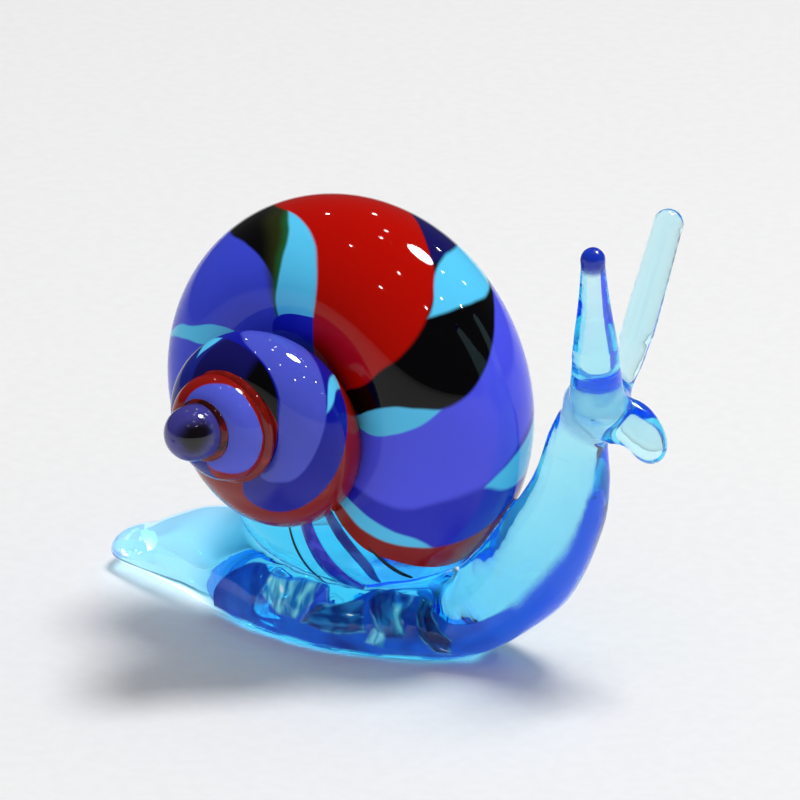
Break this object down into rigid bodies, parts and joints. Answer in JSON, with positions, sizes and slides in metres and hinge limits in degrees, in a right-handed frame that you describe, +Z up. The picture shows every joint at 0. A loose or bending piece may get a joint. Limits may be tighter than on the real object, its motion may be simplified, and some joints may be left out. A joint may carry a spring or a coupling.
{
  "type": "snail figurine",
  "caption": "Solid lampworked glass snail with a clear aqua body, knobbed eye stalks and a coiled shell of fused coloured bands.",
  "frame": {"origin": "on the flat of the sole, where the snail rests, under the middle of its shell", "axes": "+X is the way the snail looks, +Z is up, and the shell's point faces -Y, which is the snail's right"},
  "size_m": [0.045, 0.0265, 0.0324],
  "materials": {
    "clear_aqua_glass": "clear, fire polished",
    "blue_glass": "fire polished",
    "navy_glass": "opaque, fire polished",
    "dark_red_glass": "opaque, fire polished",
    "red_glass": "opaque, fire polished",
    "lavender_glass": "opaque, fire polished",
    "black_glass": "opaque, fire polished",
    "turquoise_glass": "fire polished"
  },
  "bodies": {
    "root": {"foot": "clear_aqua_glass", "neck": "clear_aqua_glass", "head": "clear_aqua_glass", "mouth": "clear_aqua_glass", "right_eye_stalk": "clear_aqua_glass", "left_eye_stalk": "clear_aqua_glass", "shell_core": "clear_aqua_glass", "right_eye_bead": "blue_glass", "left_eye_bead": "blue_glass", "apex_bead": "navy_glass", "apex_ring": "dark_red_glass", "red_collar": "dark_red_glass", "second_whorl": "lavender_glass", "third_whorl_navy_band": "navy_glass", "third_whorl_lavender_band": "lavender_glass", "third_whorl_red_band": "dark_red_glass", "rear_lavender_band": "lavender_glass", "rear_black_band": "black_glass", "rear_turquoise_band": "turquoise_glass", "crown_red_band": "red_glass", "front_black_band": "black_glass", "front_turquoise_band": "turquoise_glass", "front_lavender_band": "lavender_glass", "hem_red_band": "dark_red_glass", "lip_turquoise_band": "turquoise_glass", "lip_navy_stripe": "navy_glass", "lip_aqua_band": "turquoise_glass", "lip_lavender_stripe": "lavender_glass", "shell_lip": "turquoise_glass"}
  },
  "joints": []
}
